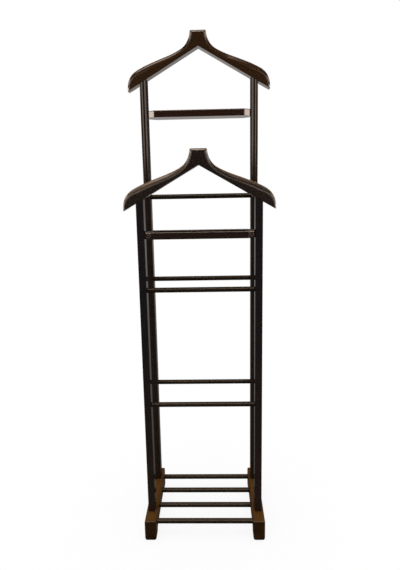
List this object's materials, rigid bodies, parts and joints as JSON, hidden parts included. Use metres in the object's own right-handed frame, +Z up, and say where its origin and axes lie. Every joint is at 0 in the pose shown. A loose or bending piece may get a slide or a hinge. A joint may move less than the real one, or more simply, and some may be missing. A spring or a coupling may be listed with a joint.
{
  "type": "clothes valet stand",
  "caption": "Free-standing wooden clothes valet: slim front and rear hanger frames with trays and trouser bars, on runners that carry a slatted shoe rack.",
  "frame": {"origin": "on the floor, under the middle of the stand: half way between the runners and half way along them", "axes": "+X to the right seen from the front, +Y from the front frame to the rear frame, +Z up"},
  "size_m": [0.4, 0.286, 1.42],
  "materials": {
    "runner_wood": "dark stain under a satin lacquer",
    "post_wood": "dark stain under a glossy lacquer",
    "hanger_wood": "dark stain under a glossy lacquer",
    "tray_wood": "dark stain under a glossy lacquer",
    "tray_floor_wood": "dark stain under a satin lacquer",
    "bar_wood": "dark stain under a satin lacquer",
    "pad_rubber": "matt",
    "screw_steel": "zinc-plated, slightly dull",
    "dowel_wood": "raw beech"
  },
  "bodies": {
    "root": {"left_runner": "runner_wood", "right_runner": "runner_wood", "front_left_pad": "pad_rubber", "front_right_pad": "pad_rubber", "rear_left_pad": "pad_rubber", "rear_right_pad": "pad_rubber", "shoe_bar_1": "bar_wood", "shoe_bar_2": "bar_wood", "shoe_bar_3": "bar_wood", "shoe_bar_4": "bar_wood", "front_left_post": "post_wood", "front_right_post": "post_wood", "rear_left_post": "post_wood", "rear_right_post": "post_wood", "front_hanger_left_arm": "hanger_wood", "front_hanger_right_arm": "hanger_wood", "rear_hanger_left_arm": "hanger_wood", "rear_hanger_right_arm": "hanger_wood", "front_tray_rim": "tray_wood", "front_tray_floor": "tray_floor_wood", "rear_tray_rim": "tray_wood", "rear_tray_floor": "tray_floor_wood", "front_upper_bar": "bar_wood", "front_lower_bar": "bar_wood", "rear_upper_bar": "bar_wood", "rear_middle_bar": "bar_wood", "rear_lower_bar": "bar_wood", "post_screws": "screw_steel", "hanger_dowels": "dowel_wood", "tray_pins": "dowel_wood"}
  },
  "joints": []
}
